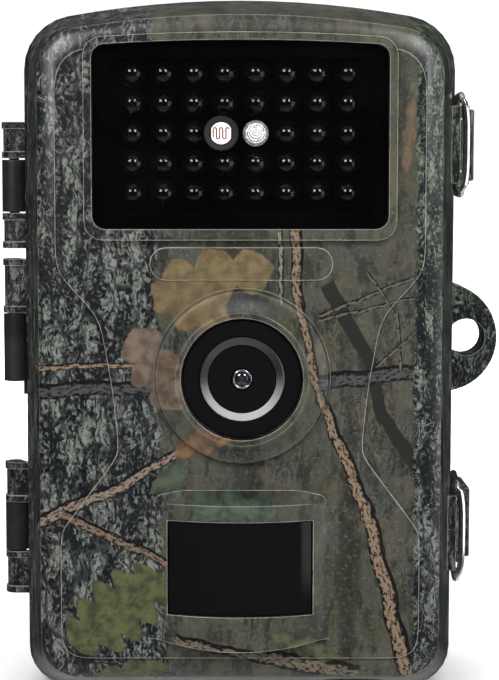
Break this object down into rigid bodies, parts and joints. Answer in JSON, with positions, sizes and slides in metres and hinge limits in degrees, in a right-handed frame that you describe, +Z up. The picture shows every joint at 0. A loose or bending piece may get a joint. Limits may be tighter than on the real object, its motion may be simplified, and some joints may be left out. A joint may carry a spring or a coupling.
{
  "type": "trail camera",
  "caption": "Clamshell trail camera: front half with lens, lamp window and motion sensor hinged to a back half that holds the batteries, closed by wire latches.",
  "frame": {"origin": "in the plane of the flat bottom that the camera stands on, midway between the sides and 2 mm behind the seam", "axes": "+Z up, the lens looks along -Y, +X to the right as the front is seen"},
  "size_m": [0.0976, 0.074, 0.135],
  "materials": {
    "camo_plastic": "satin ABS printed with a mixed leaf and bark camouflage pattern",
    "black_plastic": "satin black moulded plastic",
    "black_gloss": "polished near-black infrared-passing plastic",
    "steel": "nickel-plated steel",
    "brass": "turned brass",
    "rubber": "matt soft rubber",
    "circuit_board": "solder mask with components",
    "clear_plastic": "clear moulded plastic",
    "battery_sleeve": "plain printed sleeve over a metal can",
    "sensor_face": "ceramic sensor face with a serpentine track"
  },
  "bodies": {
    "back_half": {"back_shell": "camo_plastic", "rear_hinge_upper": "black_plastic", "rear_hinge_middle": "black_plastic", "rear_hinge_lower": "black_plastic", "hinge_pin_upper": "steel", "hinge_pin_middle": "steel", "hinge_pin_lower": "steel", "battery_tray": "black_plastic", "battery_1": "battery_sleeve", "battery_2": "battery_sleeve", "battery_3": "battery_sleeve", "battery_4": "battery_sleeve", "battery_5": "battery_sleeve", "battery_6": "battery_sleeve", "battery_7": "battery_sleeve", "battery_8": "battery_sleeve", "contact_strip_bottom": "steel", "contact_strip_middle": "steel", "contact_strip_top": "steel", "tripod_insert": "brass", "latch_pin_upper": "steel", "latch_pin_lower": "steel", "power_cable": "black_plastic"},
    "front_half": {"front_shell": "camo_plastic", "ir_window": "black_gloss", "led_board": "circuit_board", "light_sensor": "sensor_face", "white_led": "clear_plastic", "lens_window": "black_gloss", "lens_ring": "steel", "lens_barrel": "black_plastic", "sensor_board": "circuit_board", "ir_cut_housing": "black_plastic", "pir_window": "black_gloss", "pir_sensor": "steel", "main_board": "circuit_board", "lcd_panel": "black_gloss", "lcd_window": "clear_plastic", "inner_cover": "black_plastic", "seal_gasket": "rubber", "dc_jack": "black_plastic", "cover_screw_upper_left": "steel", "cover_screw_upper_right": "steel", "cover_screw_lower_left": "steel", "cover_screw_lower_right": "steel"},
    "battery_cover": {"battery_door": "black_plastic"},
    "upper_lever": {"latch_lever_upper": "camo_plastic"},
    "lower_lever": {"latch_lever_lower": "camo_plastic"},
    "upper_bail": {"latch_bail_upper": "steel"},
    "lower_bail": {"latch_bail_lower": "steel"},
    "filter_slider": {"ir_cut_slider": "steel"},
    "memory_card": {"microsd_card": "black_plastic"},
    "power_plug": {"dc_plug": "rubber"},
    "switch_knob": {"mode_switch": "black_plastic"},
    "key_menu_cap": {"key_menu": "rubber"},
    "key_up_cap": {"key_up": "rubber"},
    "key_down_cap": {"key_down": "rubber"},
    "key_left_cap": {"key_left": "rubber"},
    "key_right_cap": {"key_right": "rubber"},
    "key_ok_cap": {"key_ok": "rubber"}
  },
  "joints": [
    {"name": "front_open", "type": "hinge", "parent": "back_half", "child": "front_half", "pos_m": [-0.0445, -0.002, 0.0675], "axis": [0, 0, -1], "range_deg": [0, 165]},
    {"name": "battery_door_open", "type": "hinge", "parent": "back_half", "child": "battery_cover", "pos_m": [-0.0342, 0.0073, 0.0675], "axis": [0, 0, -1], "range_deg": [0, 95]},
    {"name": "upper_latch_lever", "type": "hinge", "parent": "back_half", "child": "upper_lever", "pos_m": [0.0439, 0.0016, 0.1073], "axis": [0, 0, -1], "range_deg": [0, 135]},
    {"name": "upper_latch_bail", "type": "hinge", "parent": "upper_lever", "child": "upper_bail", "pos_m": [0.0439, 0.007, 0.1073], "axis": [0, 0, -1], "range_deg": [-163, 0]},
    {"name": "lower_latch_lever", "type": "hinge", "parent": "back_half", "child": "lower_lever", "pos_m": [0.0439, 0.0016, 0.031], "axis": [0, 0, -1], "range_deg": [0, 135]},
    {"name": "lower_latch_bail", "type": "hinge", "parent": "lower_lever", "child": "lower_bail", "pos_m": [0.0439, 0.007, 0.031], "axis": [0, 0, -1], "range_deg": [-163, 0]},
    {"name": "key_menu_press", "type": "slide", "parent": "front_half", "child": "key_menu_cap", "axis": [0, -1, 0], "range_m": [0, 0.0007]},
    {"name": "key_up_press", "type": "slide", "parent": "front_half", "child": "key_up_cap", "axis": [0, -1, 0], "range_m": [0, 0.0007]},
    {"name": "key_down_press", "type": "slide", "parent": "front_half", "child": "key_down_cap", "axis": [0, -1, 0], "range_m": [0, 0.0007]},
    {"name": "key_left_press", "type": "slide", "parent": "front_half", "child": "key_left_cap", "axis": [0, -1, 0], "range_m": [0, 0.0007]},
    {"name": "key_right_press", "type": "slide", "parent": "front_half", "child": "key_right_cap", "axis": [0, -1, 0], "range_m": [0, 0.0007]},
    {"name": "key_ok_press", "type": "slide", "parent": "front_half", "child": "key_ok_cap", "axis": [0, -1, 0], "range_m": [0, 0.0007]},
    {"name": "mode_select", "type": "slide", "parent": "front_half", "child": "switch_knob", "axis": [0, 0, 1], "range_m": [-0.0035, 0.0035]},
    {"name": "filter_shift", "type": "slide", "parent": "front_half", "child": "filter_slider", "axis": [1, 0, 0], "range_m": [0, 0.006]},
    {"name": "memory_card_eject", "type": "slide", "parent": "front_half", "child": "memory_card", "axis": [0, 0, -1], "range_m": [0, 0.009]},
    {"name": "power_plug_pull", "type": "slide", "parent": "front_half", "child": "power_plug", "axis": [0, 0, -1], "range_m": [0, 0.006]}
  ],
  "couplings": [
    {"joint": "battery_door_open", "follows": "front_open", "ratio": 0.57},
    {"joint": "upper_latch_bail", "follows": "upper_latch_lever", "ratio": -1.2},
    {"joint": "lower_latch_bail", "follows": "lower_latch_lever", "ratio": -1.2}
  ]
}
